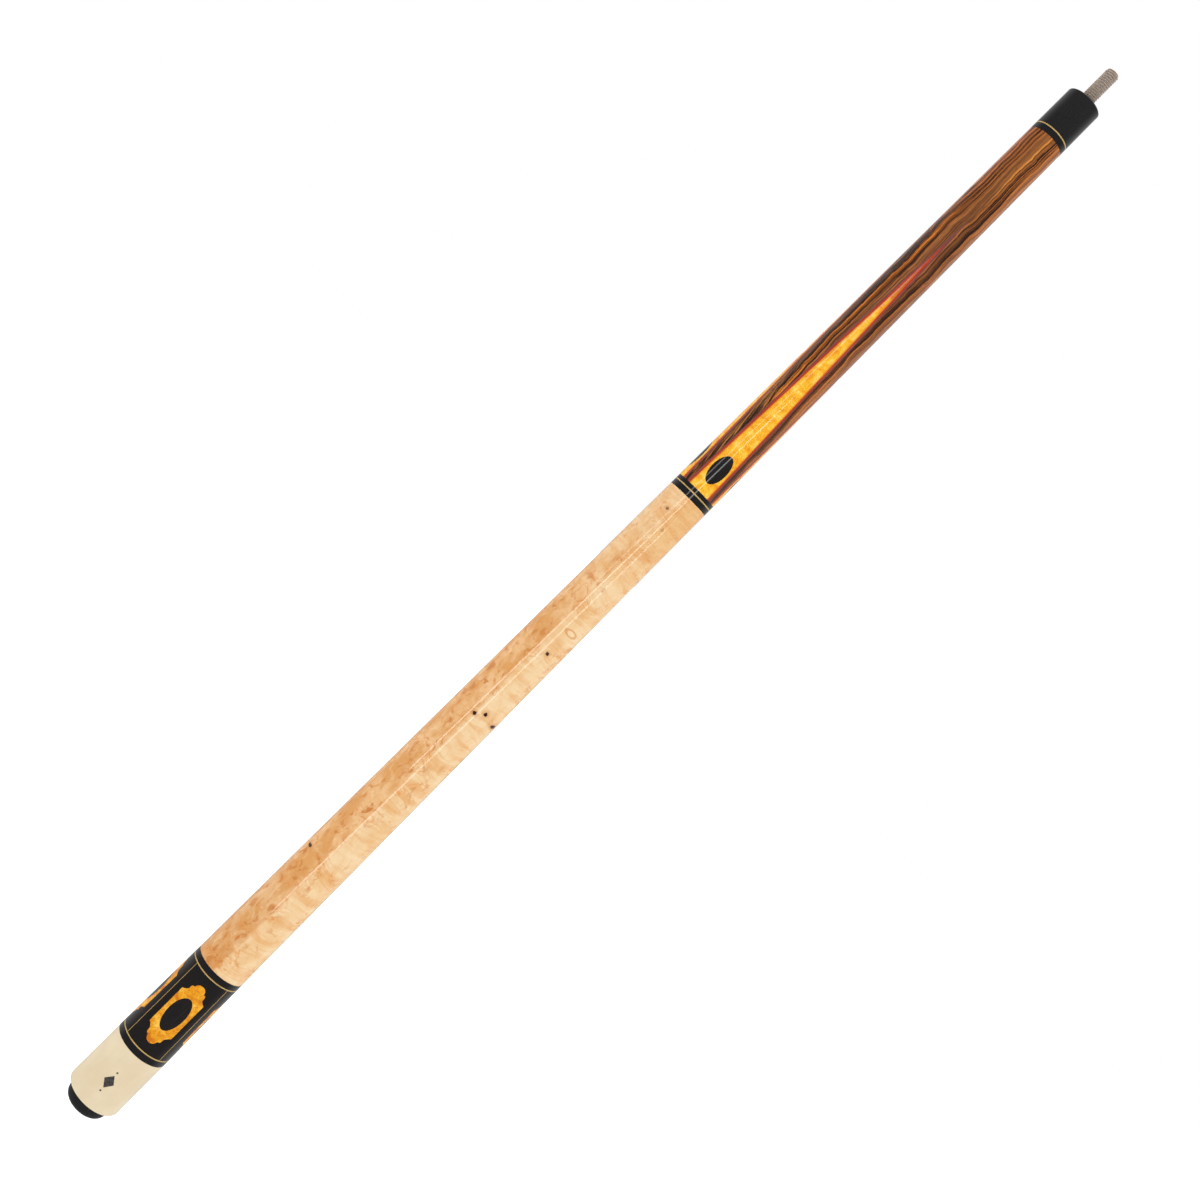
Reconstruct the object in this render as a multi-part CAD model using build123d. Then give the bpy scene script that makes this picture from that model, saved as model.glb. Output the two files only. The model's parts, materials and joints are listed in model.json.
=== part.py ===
"""Butt half of a two-piece pool cue, one STEP per separate piece, in millimetres.

The cue stands on its rubber bumper. +Z runs up the cue's axis towards the joint pin, and the origin is
the centre of the bumper's foot. The -Y side carries the first spliced point, the first butt sleeve
window and the mark on the butt cap.
"""

from build123d import *

import os
from math import cos, radians, sin, sqrt

# ---------------------------------------------------------------- stations up the cue's axis
CAP_END = 8.2  # end face of the butt cap, which the bumper sits against
CAP_TOP = 44.8
RING_THICK = 0.65  # thin gold trim rings
CAP_RING_TOP = 48.6
SLEEVE_BOTTOM = CAP_RING_TOP + RING_THICK
SLEEVE_TOP = 99.7
HANDLE_BOTTOM = 103.9
WRIST_BOTTOM = 450.3
WRIST_LOWER_BAND = 3.35
WRIST_GOLD = WRIST_BOTTOM + WRIST_LOWER_BAND
FOREARM_BOTTOM = 456.7
FOREARM_TOP = 716.1
JOINT_BLACK_TOP = 719.75
COLLAR_BOTTOM = JOINT_BLACK_TOP + RING_THICK
JOINT_FACE = 745.0
PIN_TIP = 767.5

# ---------------------------------------------------------------- outside of the cue: (station, radius)
TAPER = [
    (CAP_END, 16.12),
    (CAP_TOP, 15.97),
    (HANDLE_BOTTOM, 15.16),
    (WRIST_BOTTOM, 12.47),
    (FOREARM_TOP, 10.64),
    (JOINT_FACE, 10.5),
]
CAP_ROUND = 1.3
COLLAR_ROUND = 0.45

REACH = 18.0  # from the axis, past the outside of the cue everywhere

# ---------------------------------------------------------------- joints hidden inside
GLUE = 0.03  # gap that the glue fills round a tenon, stud or bush
BUTT_TENON_R = 9.5
TENON_END = 12.2  # lower end of the handle's tenon, inside the cap
WRIST_TENON_R = 7.6
JOINT_TENON_R = 7.2
COLLAR_WALL = 4.0  # end wall of the collar
STUD_R = 4.76
STUD_BELOW = 24.0  # length of the wrist stud in the handle
STUD_ABOVE = 22.0  # and in the forearm
HOLE_END_GAP = 1.0

# ---------------------------------------------------------------- joint pin, a 5/16 inch 18 thread
PIN_R = 3.969
PIN_PITCH = 25.4 / 18
PIN_THREAD_DEPTH = 0.613 * PIN_PITCH
PIN_CREST = PIN_PITCH / 8
PIN_ROOT = PIN_PITCH / 4
PIN_BURIED = 40.0
PIN_BURIED_R = PIN_R - 0.325 * PIN_PITCH  # mean radius of the thread, bedded in the wood
PIN_SHOULDER = 1.0  # plain length above the joint face
PIN_ROUND = 1.6
PIN_HOLE_R = PIN_R + 0.08  # through the collar's end wall

# ---------------------------------------------------------------- butt end hardware
BUMPER_R = 12.5
BUMPER_FOOT_ROUND = 4.75
BUMPER_LIP_ROUND = 0.5
SPIGOT_R = 7.3  # locating spigot of the bumper in the cap's bore
SPIGOT_HEIGHT = 1.8
SCREW_RECESS_R = 5.6
SCREW_RECESS_DEPTH = 4.6
WASHER_R = 5.4
WASHER_THICK = 0.8
SCREW_R = 3.175  # a 1/4 inch 20 thread, drawn plain
SCREW_END = 21.6
SCREW_HEAD_R = 4.7
SCREW_HEAD_HEIGHT = 2.8
SCREW_SOCKET_FLATS = 4.0
SCREW_SOCKET_DEPTH = 1.9
SCREW_CLEARANCE = 0.08
INSERT_R = 7.5
INSERT_BOTTOM = CAP_END + SPIGOT_HEIGHT + 0.4
INSERT_TOP = 26.2
WEIGHT_R = 6.35  # a 1/2 inch 13 thread, drawn plain
WEIGHT_BORE_R = 6.43
WEIGHT_BOTTOM = 27.2
WEIGHT_LENGTH = 38.0
WEIGHT_BORE_TOP = 94.0
WEIGHT_SOCKET_FLATS = 5.0
WEIGHT_SOCKET_DEPTH = 7.0
WEIGHT_CHAMFER = 1.0

# ---------------------------------------------------------------- spliced points
POINT_COUNT = 4
POINT_HALF_ANGLE = 31.6  # seen from the axis, at the foot of the forearm
POINT_TIP = 622.0
INNER_VENEER_HALF_ANGLE = 36.8
INNER_VENEER_TIP = 640.0
OUTER_VENEER_HALF_ANGLE = 40.2
OUTER_VENEER_TIP = 657.0
POINT_OVAL_CENTRE = 471.8
POINT_OVAL_LONG = 9.2
POINT_OVAL_WIDE = 4.65
POINT_OVAL_DEPTH = 2.4

# ---------------------------------------------------------------- butt sleeve inlays
WINDOW_COUNT = 4
WINDOW_CENTRE = (SLEEVE_BOTTOM + SLEEVE_TOP) / 2
WINDOW_LONG = 19.8  # half length, to the end of each lobe
WINDOW_WIDE = 7.5  # half width, across the flats
WINDOW_FLAT = 11.8  # half length of the straight sides
WINDOW_FLOOR = 11.7  # distance of the pocket's floor from the axis
WINDOW_COVE = (14.1, 4.85)  # end of the cove below each straight side: (along, across)
WINDOW_STEP = (16.2, 4.65)
WINDOW_NOTCH = (16.9, 3.4)
WINDOW_LOBE = (17.4, 3.1)
SLEEVE_OVAL_LONG = 10.65
SLEEVE_OVAL_WIDE = 5.3
SLEEVE_OVAL_FLOOR = 12.9
LINE_WIDTH = 0.45
LINE_DEPTH = 0.9

# ---------------------------------------------------------------- plain diamond mark on the butt cap
MARK_CENTRE = 25.8
MARK_LONG = 4.2
MARK_WIDE = 3.2
MARK_DOT_R = 0.55
MARK_DOT_OFFSET = 6.2
MARK_DEPTH = 1.0

BASE = (Align.CENTER, Align.CENTER, Align.MIN)


# ---------------------------------------------------------------- shared shapes
def radius_at(z):
    """Outside radius of the cue at station z."""
    for (low_z, low_r), (high_z, high_r) in zip(TAPER, TAPER[1:]):
        if z <= high_z:
            break
    return low_r + (high_r - low_r) * (z - low_z) / (high_z - low_z)


def rod(radius, bottom, top):
    """Plain cylinder on the axis."""
    return Pos(0, 0, bottom) * Cylinder(radius, top - bottom, align=BASE)


def taper(bottom, top):
    """The cue's solid outside shape between two stations of one straight taper."""
    return Pos(0, 0, bottom) * Cone(radius_at(bottom), radius_at(top), top - bottom, align=BASE)


def band(bottom, top, bore):
    """A ring or sleeve of the cue's outside shape, bored for a tenon."""
    return taper(bottom, top) - rod(bore + GLUE, bottom - 1, top + 1)


def around(count, index, first=0.0):
    """Turn a piece drawn on the +X side to place number index of count, where place 0 is the -Y side."""
    return Rot(0, 0, first + 360 / count * index - 90)


def hexagon(flats, bottom, top):
    """Hexagonal socket, flats apart."""
    sketch = RegularPolygon(flats / 2, 6, major_radius=False)
    return Pos(0, 0, bottom) * extrude(sketch, top - bottom)


def facing_x(sketch, floor, reach):
    """A sketch drawn with its X across the cue and its Y up it, raised outwards along +X from the floor."""
    plane = Plane(origin=(floor, 0, 0), x_dir=(0, 1, 0), z_dir=(1, 0, 0))
    return extrude(plane * sketch, reach - floor)


# ---------------------------------------------------------------- joint end
def joint_pin():
    """Threaded pin, its thread as ridges at the thread's pitch."""
    body = rod(PIN_R, JOINT_FACE, PIN_TIP)
    body = fillet(body.edges().sort_by(Axis.Z)[-1], PIN_ROUND)
    flank = (PIN_PITCH - PIN_CREST - PIN_ROOT) / 2
    root_r = PIN_R - PIN_THREAD_DEPTH
    outer = PIN_R + 1
    z = JOINT_FACE + PIN_SHOULDER
    while z + PIN_PITCH < PIN_TIP - PIN_ROUND:
        groove = Polyline(
            (PIN_R, 0, z),
            (root_r, 0, z + flank),
            (root_r, 0, z + flank + PIN_ROOT),
            (PIN_R, 0, z + 2 * flank + PIN_ROOT),
            (outer, 0, z + 2 * flank + PIN_ROOT),
            (outer, 0, z),
            close=True,
        )
        body -= revolve(make_face(groove), Axis.Z)
        z += PIN_PITCH
    return body + rod(PIN_BURIED_R, JOINT_FACE - PIN_BURIED, JOINT_FACE)


def joint_collar():
    """Capped sleeve that the shaft's face meets."""
    body = taper(COLLAR_BOTTOM, JOINT_FACE)
    body = fillet(body.edges().sort_by(Axis.Z)[-1], COLLAR_ROUND)
    body -= rod(JOINT_TENON_R + GLUE, COLLAR_BOTTOM - 1, JOINT_FACE - COLLAR_WALL)
    return body - rod(PIN_HOLE_R, COLLAR_BOTTOM, JOINT_FACE + 1)


# ---------------------------------------------------------------- forearm and its spliced points
def wedge(half_angle, tip):
    """A right-angled wedge along the +X side. Its two faces leave the surface half_angle from the
    middle at the foot of the forearm, and its lower edge rises to the surface at the tip."""
    foot_r = radius_at(FOREARM_BOTTOM)
    edge_foot = foot_r * (cos(radians(half_angle)) - sin(radians(half_angle)))
    edge_tip = radius_at(tip)
    run_out = 1.0  # past both ends, along the same slope
    slope = (edge_tip - edge_foot) / (tip - FOREARM_BOTTOM)
    start = FOREARM_BOTTOM - run_out
    edge = edge_foot - slope * run_out
    rise = tip + run_out - start
    outline = Polyline(
        (edge, 0, start),
        (edge + REACH, REACH, start),
        (edge + REACH, -REACH, start),
        close=True,
    )
    return extrude(make_face(outline), rise * sqrt(1 + slope**2), dir=(slope, 0, 1))


def point_oval():
    """Elliptic prism of the inlay in a point."""
    floor = radius_at(POINT_OVAL_CENTRE) - POINT_OVAL_DEPTH
    sketch = Pos(0, POINT_OVAL_CENTRE) * Ellipse(POINT_OVAL_WIDE, POINT_OVAL_LONG)
    return facing_x(sketch, floor, REACH)


def wrist_hole():
    """The blind hole that the wrist stud goes into, in the forearm."""
    return rod(STUD_R + GLUE, FOREARM_BOTTOM - 5, FOREARM_BOTTOM + STUD_ABOVE + HOLE_END_GAP)


def forearm():
    """Striped hardwood blank with a groove for each point, and the tenon for the collar."""
    body = taper(FOREARM_BOTTOM, FOREARM_TOP)
    body += rod(JOINT_TENON_R, FOREARM_TOP, JOINT_FACE - COLLAR_WALL)
    body -= rod(PIN_BURIED_R + GLUE, JOINT_FACE - PIN_BURIED - HOLE_END_GAP, JOINT_FACE)
    for index in range(POINT_COUNT):
        body -= around(POINT_COUNT, index) * wedge(OUTER_VENEER_HALF_ANGLE, OUTER_VENEER_TIP)
    return body - wrist_hole()


def point_blanks():
    """The outer and inner veneers, the point and its oval on the +X side."""
    arm = taper(FOREARM_BOTTOM, FOREARM_TOP) - wrist_hole()
    outer_groove = wedge(OUTER_VENEER_HALF_ANGLE, OUTER_VENEER_TIP)
    inner_groove = wedge(INNER_VENEER_HALF_ANGLE, INNER_VENEER_TIP)
    core = wedge(POINT_HALF_ANGLE, POINT_TIP)
    return {
        "outer_veneer": (arm & outer_groove) - inner_groove,
        "inner_veneer": (arm & inner_groove) - core,
        "point": (arm & core) - point_oval(),
        "point_oval": arm & point_oval(),
    }


# ---------------------------------------------------------------- wrist and handle
def wrist_stud():
    """Threaded rod that pulls the forearm against the handle."""
    return rod(STUD_R, WRIST_BOTTOM - STUD_BELOW, FOREARM_BOTTOM + STUD_ABOVE)


def handle():
    """Plain maple grip, with a short tenon for the wrist rings and a long one for the butt sleeve."""
    body = taper(HANDLE_BOTTOM, WRIST_BOTTOM)
    body += rod(WRIST_TENON_R, WRIST_BOTTOM, FOREARM_BOTTOM)
    body += rod(BUTT_TENON_R, TENON_END, HANDLE_BOTTOM)
    body -= rod(STUD_R + GLUE, WRIST_BOTTOM - STUD_BELOW - HOLE_END_GAP, FOREARM_BOTTOM + 1)
    body -= rod(WEIGHT_BORE_R, INSERT_TOP - 1, WEIGHT_BORE_TOP)
    return body - rod(INSERT_R + GLUE, TENON_END - 1, INSERT_TOP)


# ---------------------------------------------------------------- butt sleeve
def window_outline():
    """Shield shape of a sleeve window: straight sides, a cove, a step and a lobe at each end."""
    flat = (WINDOW_FLAT, WINDOW_WIDE)
    cove_middle = (
        (flat[0] + WINDOW_COVE[0]) / 2 - 0.15,
        (flat[1] + WINDOW_COVE[1]) / 2 - 0.15,
    )
    step_middle = (
        (WINDOW_STEP[0] + WINDOW_NOTCH[0]) / 2 + 0.2,
        (WINDOW_STEP[1] + WINDOW_NOTCH[1]) / 2 + 0.15,
    )
    lobe_middle = (
        WINDOW_LOBE[0] + 0.72 * (WINDOW_LONG - WINDOW_LOBE[0]),
        WINDOW_LOBE[1] * 0.69,
    )

    def quarter(up, side):
        """The corner in one quadrant, from its straight side to its lobe, as (along, across) signs."""

        def at(place):
            return (side * place[1], up * place[0])

        return [
            ThreePointArc(at(flat), at(cove_middle), at(WINDOW_COVE)),
            Line(at(WINDOW_COVE), at(WINDOW_STEP)),
            ThreePointArc(at(WINDOW_STEP), at(step_middle), at(WINDOW_NOTCH)),
            Line(at(WINDOW_NOTCH), at(WINDOW_LOBE)),
            ThreePointArc(at(WINDOW_LOBE), at(lobe_middle), at((WINDOW_LONG, 0))),
        ]

    edges = []
    for up in (1, -1):
        for side in (1, -1):
            edges += quarter(up, side)
    for side in (1, -1):
        edges.append(Line((side * WINDOW_WIDE, -WINDOW_FLAT), (side * WINDOW_WIDE, WINDOW_FLAT)))
    return make_face(Wire(edges))


def window_block():
    """Prism of a window, from its pocket's floor outwards."""
    return facing_x(Pos(0, WINDOW_CENTRE) * window_outline(), WINDOW_FLOOR, REACH)


def sleeve_oval_block():
    """Prism of the oval in a window."""
    sketch = Pos(0, WINDOW_CENTRE) * Ellipse(SLEEVE_OVAL_WIDE, SLEEVE_OVAL_LONG)
    return facing_x(sketch, SLEEVE_OVAL_FLOOR, REACH)


def line_block():
    """Slab of a thin gold line up the sleeve."""
    middle = (SLEEVE_BOTTOM + SLEEVE_TOP) / 2
    floor = radius_at(SLEEVE_TOP) - LINE_DEPTH
    reach = radius_at(SLEEVE_BOTTOM) + 1
    return Pos((floor + reach) / 2, 0, middle) * Box(
        reach - floor, LINE_WIDTH, SLEEVE_TOP - SLEEVE_BOTTOM
    )


def butt_sleeve():
    """Black sleeve with a pocket for each window and a slot for each line between them."""
    body = band(SLEEVE_BOTTOM, SLEEVE_TOP, BUTT_TENON_R)
    for index in range(WINDOW_COUNT):
        body -= around(WINDOW_COUNT, index) * window_block()
        body -= around(WINDOW_COUNT, index, 180 / WINDOW_COUNT) * line_block()
    return body


def sleeve_inlays():
    """One window, one oval and one line, on the +X side."""
    skin = taper(SLEEVE_BOTTOM, SLEEVE_TOP)
    window = (skin & window_block()) - sleeve_oval_block()
    return window, skin & sleeve_oval_block(), skin & line_block()


# ---------------------------------------------------------------- butt cap
def mark_blocks():
    """Prisms of the cap's mark on the -Y side: a small diamond between two dots."""
    diamond = Polygon(
        (0, -MARK_LONG),
        (MARK_WIDE, 0),
        (0, MARK_LONG),
        (-MARK_WIDE, 0),
        align=None,
    )
    dots = [Pos(0, side * MARK_DOT_OFFSET) * Circle(MARK_DOT_R) for side in (1, -1)]
    floor = radius_at(MARK_CENTRE) - MARK_DEPTH
    raised = [facing_x(Pos(0, MARK_CENTRE) * piece, floor, REACH) for piece in [diamond, *dots]]
    return [around(1, 0) * piece for piece in raised]


def butt_cap():
    """Ivory-coloured cap with a rounded end, bored for the tenon and the insert."""
    body = taper(CAP_END, CAP_TOP)
    body = fillet(body.edges().sort_by(Axis.Z)[0], CAP_ROUND)
    body -= rod(BUTT_TENON_R + GLUE, TENON_END, CAP_TOP + 1)
    body -= rod(INSERT_R + GLUE, CAP_END - 1, TENON_END + 1)
    for piece in mark_blocks():
        body -= piece
    return body


def cap_mark():
    """The mark's inlaid pieces, flush with the cap."""
    skin = taper(CAP_END, CAP_TOP)
    return Compound([(skin & piece).solid() for piece in mark_blocks()])


# ---------------------------------------------------------------- bumper, screw and weight
def butt_insert():
    """Brass bush glued into the tenon, threaded for the bumper's screw."""
    body = rod(INSERT_R, INSERT_BOTTOM, INSERT_TOP)
    return body - rod(SCREW_R + SCREW_CLEARANCE, INSERT_BOTTOM - 1, INSERT_TOP + 1)


def bumper():
    """Rubber foot with a recess for the screw's head and a spigot that centres it in the cap."""
    body = rod(BUMPER_R, 0, CAP_END)
    body = fillet(body.edges().sort_by(Axis.Z)[0], BUMPER_FOOT_ROUND)
    body = fillet(body.edges().sort_by(Axis.Z)[-1], BUMPER_LIP_ROUND)
    body += rod(SPIGOT_R, CAP_END, CAP_END + SPIGOT_HEIGHT)
    body -= rod(SCREW_RECESS_R, -1, SCREW_RECESS_DEPTH)
    return body - rod(SCREW_R + SCREW_CLEARANCE, 0, CAP_END + SPIGOT_HEIGHT + 1)


def bumper_washer():
    """Steel washer between the screw's head and the rubber."""
    top = SCREW_RECESS_DEPTH
    body = rod(WASHER_R, top - WASHER_THICK, top)
    return body - rod(SCREW_R + SCREW_CLEARANCE, 0, top + 1)


def bumper_screw():
    """Cap screw with a hexagonal socket."""
    seat = SCREW_RECESS_DEPTH - WASHER_THICK
    foot = seat - SCREW_HEAD_HEIGHT
    head = rod(SCREW_HEAD_R, foot, seat)
    head = chamfer(head.edges().sort_by(Axis.Z)[0], 0.5)
    shank = rod(SCREW_R, seat, SCREW_END)
    shank = chamfer(shank.edges().sort_by(Axis.Z)[-1], 0.6)
    return head + shank - hexagon(SCREW_SOCKET_FLATS, foot - 1, foot + SCREW_SOCKET_DEPTH)


def weight_bolt():
    """Steel balance weight, turned by a key through the insert."""
    top = WEIGHT_BOTTOM + WEIGHT_LENGTH
    body = rod(WEIGHT_R, WEIGHT_BOTTOM, top)
    body = chamfer(body.edges().filter_by(GeomType.CIRCLE), WEIGHT_CHAMFER)
    return body - hexagon(WEIGHT_SOCKET_FLATS, WEIGHT_BOTTOM - 1, WEIGHT_BOTTOM + WEIGHT_SOCKET_DEPTH)


# ---------------------------------------------------------------- the whole list
def rings():
    """The trim rings, by name: (bottom, top, tenon radius)."""
    return {
        "cap_ring_black": (CAP_TOP, CAP_RING_TOP, BUTT_TENON_R),
        "cap_ring_gold": (CAP_RING_TOP, SLEEVE_BOTTOM, BUTT_TENON_R),
        "handle_ring_gold": (SLEEVE_TOP, SLEEVE_TOP + RING_THICK, BUTT_TENON_R),
        "handle_ring_black": (SLEEVE_TOP + RING_THICK, HANDLE_BOTTOM, BUTT_TENON_R),
        "wrist_ring_black_lower": (WRIST_BOTTOM, WRIST_GOLD, WRIST_TENON_R),
        "wrist_ring_gold": (WRIST_GOLD, WRIST_GOLD + RING_THICK, WRIST_TENON_R),
        "wrist_ring_black_upper": (WRIST_GOLD + RING_THICK, FOREARM_BOTTOM, WRIST_TENON_R),
        "joint_ring_black": (FOREARM_TOP, JOINT_BLACK_TOP, JOINT_TENON_R),
        "joint_ring_gold": (JOINT_BLACK_TOP, COLLAR_BOTTOM, JOINT_TENON_R),
    }


def pieces():
    """Every separate piece of the cue butt, by node name."""
    made = {
        "joint_pin": joint_pin(),
        "joint_collar": joint_collar(),
        "forearm": forearm(),
        "wrist_stud": wrist_stud(),
        "handle": handle(),
        "butt_sleeve": butt_sleeve(),
        "butt_cap": butt_cap(),
        "cap_mark": cap_mark(),
        "butt_insert": butt_insert(),
        "weight_bolt": weight_bolt(),
        "bumper": bumper(),
        "bumper_washer": bumper_washer(),
        "bumper_screw": bumper_screw(),
    }
    for name, (bottom, top, bore) in rings().items():
        made[name] = band(bottom, top, bore)
    blanks = point_blanks()
    for index in range(POINT_COUNT):
        for name, blank in blanks.items():
            made[f"{name}_{index + 1}"] = around(POINT_COUNT, index) * blank
    window, sleeve_oval, line = sleeve_inlays()
    for index in range(WINDOW_COUNT):
        turn = around(WINDOW_COUNT, index)
        made[f"sleeve_window_{index + 1}"] = turn * window
        made[f"sleeve_oval_{index + 1}"] = turn * sleeve_oval
        made[f"sleeve_line_{index + 1}"] = around(WINDOW_COUNT, index, 180 / WINDOW_COUNT) * line
    return made


def main():
    os.makedirs("parts", exist_ok=True)
    for name, shape in pieces().items():
        export_step(shape, f"parts/{name}.step")


main()
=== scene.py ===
"""Looks of the pool cue's butt: woods, inlays, lacquer, joint pin thread, studio and camera."""

import json
import math

import bmesh
import bpy
from mathutils import Matrix, Vector


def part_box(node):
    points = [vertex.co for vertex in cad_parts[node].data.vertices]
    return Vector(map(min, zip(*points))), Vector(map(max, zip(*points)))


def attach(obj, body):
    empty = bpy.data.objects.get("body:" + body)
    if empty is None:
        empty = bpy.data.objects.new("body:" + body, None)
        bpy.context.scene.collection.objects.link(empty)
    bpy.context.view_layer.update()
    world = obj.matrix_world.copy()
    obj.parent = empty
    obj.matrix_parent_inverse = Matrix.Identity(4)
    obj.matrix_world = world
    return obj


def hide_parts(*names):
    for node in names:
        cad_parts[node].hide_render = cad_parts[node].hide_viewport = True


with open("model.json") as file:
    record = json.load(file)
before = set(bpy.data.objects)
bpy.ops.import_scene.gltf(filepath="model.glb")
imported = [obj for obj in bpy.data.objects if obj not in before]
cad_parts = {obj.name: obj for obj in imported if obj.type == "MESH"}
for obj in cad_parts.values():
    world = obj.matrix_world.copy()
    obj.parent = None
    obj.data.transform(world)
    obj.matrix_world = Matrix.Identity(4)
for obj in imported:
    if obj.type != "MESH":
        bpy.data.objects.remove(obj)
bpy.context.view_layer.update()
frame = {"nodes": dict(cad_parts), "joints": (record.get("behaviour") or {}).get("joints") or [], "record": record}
nodes = frame["nodes"]

MM = 0.001

# ---------------------------------------------------------------- camera, from the picture's perspective
CAMERA_AZIMUTH = math.radians(-5.0)
CAMERA_DISTANCE = 0.797  # from the cue's axis
CAMERA_HEIGHT = 0.4084
CUE_IN_PICTURE = math.radians(45.0)  # the cue rises this steeply to the right
LENS = 45.42
SENSOR = 36
SHIFT = (-0.0262, -0.0372)
BACK = Vector((math.sin(CAMERA_AZIMUTH), -math.cos(CAMERA_AZIMUTH), 0))  # from the cue to the camera
ASIDE = Vector((math.cos(CAMERA_AZIMUTH), math.sin(CAMERA_AZIMUTH), 0))  # to the camera's right

# ---------------------------------------------------------------- joint pin thread
PIN_RADIUS = 3.969 * MM
PIN_PITCH = 25.4 / 18 * MM
PIN_THREAD_DEPTH = 0.613 * PIN_PITCH
PIN_FLANK_ANGLE = math.radians(30)  # the thread's flanks lean this far
PIN_BURIED_RADIUS = 3.51 * MM  # below the joint face, out of sight
PIN_TIP_ROUND = 1.6 * MM
PIN_SEGMENTS = 72
SHARP_ANGLE = math.radians(35)  # edges that turn further than this are kept sharp


# ---------------------------------------------------------------- colours
def colour(red, green, blue):
    """A colour of 0 to 255 as shown on a screen, in linear light."""
    shown = [value / 255 for value in (red, green, blue)]
    return [v / 12.92 if v <= 0.04045 else ((v + 0.055) / 1.055) ** 2.4 for v in shown] + [1.0]


# ---------------------------------------------------------------- lacquer over the woods and black pieces
LACQUER = {"Coat_Weight": 1.0, "Coat_Roughness": 0.08, "Coat_IOR": 1.5, "Specular_IOR_Level": 0.0}
TAPER_SLOPE = 0.0073  # how much the cue's radius narrows, per length


# ---------------------------------------------------------------- node trees, in short calls
class Nodes:
    """A node tree, built in short calls whose arguments are sockets or plain values."""

    def __init__(self, tree):
        self.tree = tree
        tree.nodes.clear()

    def add(self, kind, **settings):
        node = self.tree.nodes.new(kind)
        for key, value in settings.items():
            setattr(node, key, value)
        return node

    def feed(self, socket, value):
        """Links an output to a socket, or sets the socket to a plain value."""
        if isinstance(value, bpy.types.NodeSocket):
            self.tree.links.new(value, socket)
        else:
            socket.default_value = value

    def sums(self, operation, *values):
        """The result of one sum, named as the Math node names it."""
        node = self.add("ShaderNodeMath", operation=operation)
        for socket, value in zip(node.inputs, values):
            self.feed(socket, value)
        return node.outputs[0]

    def product(self, first, *others):
        """Values multiplied together."""
        for other in others:
            first = self.sums("MULTIPLY", first, other)
        return first

    def vector(self, operation, *values):
        """The result of one sum with vectors."""
        node = self.add("ShaderNodeVectorMath", operation=operation)
        for socket, value in zip(node.inputs, values):
            self.feed(socket, value)
        return node.outputs["Value" if operation in ("LENGTH", "DISTANCE", "DOT_PRODUCT") else "Vector"]

    def axis(self, place, name):
        """The X, Y or Z of a place."""
        node = self.add("ShaderNodeSeparateXYZ")
        self.feed(node.inputs[0], place)
        return node.outputs[name]

    def noise(self, place, detail=2.0, rough=0.5, twist=0.0, output="Fac"):
        """Noise from about 0.3 to 0.7, whose size is set by how the place is stretched."""
        node = self.add("ShaderNodeTexNoise")
        self.feed(node.inputs["Vector"], place)
        node.inputs["Scale"].default_value = 1.0
        node.inputs["Detail"].default_value = detail
        node.inputs["Roughness"].default_value = rough
        node.inputs["Distortion"].default_value = twist
        return node.outputs[output]

    def push(self, place, by, reach, along=(1, 1, 1)):
        """A place pushed about by a colour noise, up to about reach each way."""
        middle = self.vector("SUBTRACT", by, (0.5, 0.5, 0.5))
        moved = self.vector("MULTIPLY", middle, tuple(2 * reach * a for a in along))
        return self.vector("ADD", place, moved)

    def step(self, value, low, high, to_low=0.0, to_high=1.0):
        """A smooth step of value from low to high. low may be the larger."""
        node = self.add("ShaderNodeMapRange", interpolation_type="SMOOTHSTEP")
        turned = low > high
        limits = (high, low) if turned else (low, high)
        ends = (to_high, to_low) if turned else (to_low, to_high)
        self.feed(node.inputs["Value"], value)
        for name, number in zip(("From Min", "From Max", "To Min", "To Max"), (*limits, *ends)):
            node.inputs[name].default_value = number
        return node.outputs["Result"]

    def mix(self, factor, first, second, blend="MIX"):
        """The first colour at a factor of 0, and the second at 1."""
        node = self.add("ShaderNodeMix", data_type="RGBA", blend_type=blend, clamp_factor=True)
        self.feed(node.inputs["Factor"], factor)
        self.feed(node.inputs[6], first)
        self.feed(node.inputs[7], second)
        return node.outputs[2]

    def ramp(self, value, *stops):
        """Colours at places from 0 to 1."""
        node = self.add("ShaderNodeValToRGB")
        self.feed(node.inputs["Fac"], value)
        steps = node.color_ramp.elements
        while len(steps) < len(stops):
            steps.new(0.5)
        for step, (place, shade) in zip(steps, stops):
            step.position = place
            step.color = shade
        return node.outputs["Color"]

    def bump(self, height, depth_mm, strength=1.0, normal=None):
        """A surface made uneven by a height, on the mesh's own normal or on the one given."""
        node = self.add("ShaderNodeBump")
        self.feed(node.inputs["Height"], height)
        node.inputs["Distance"].default_value = depth_mm * MM
        node.inputs["Strength"].default_value = strength
        if normal:
            self.feed(node.inputs["Normal"], normal)
        return node.outputs["Normal"]


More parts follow.
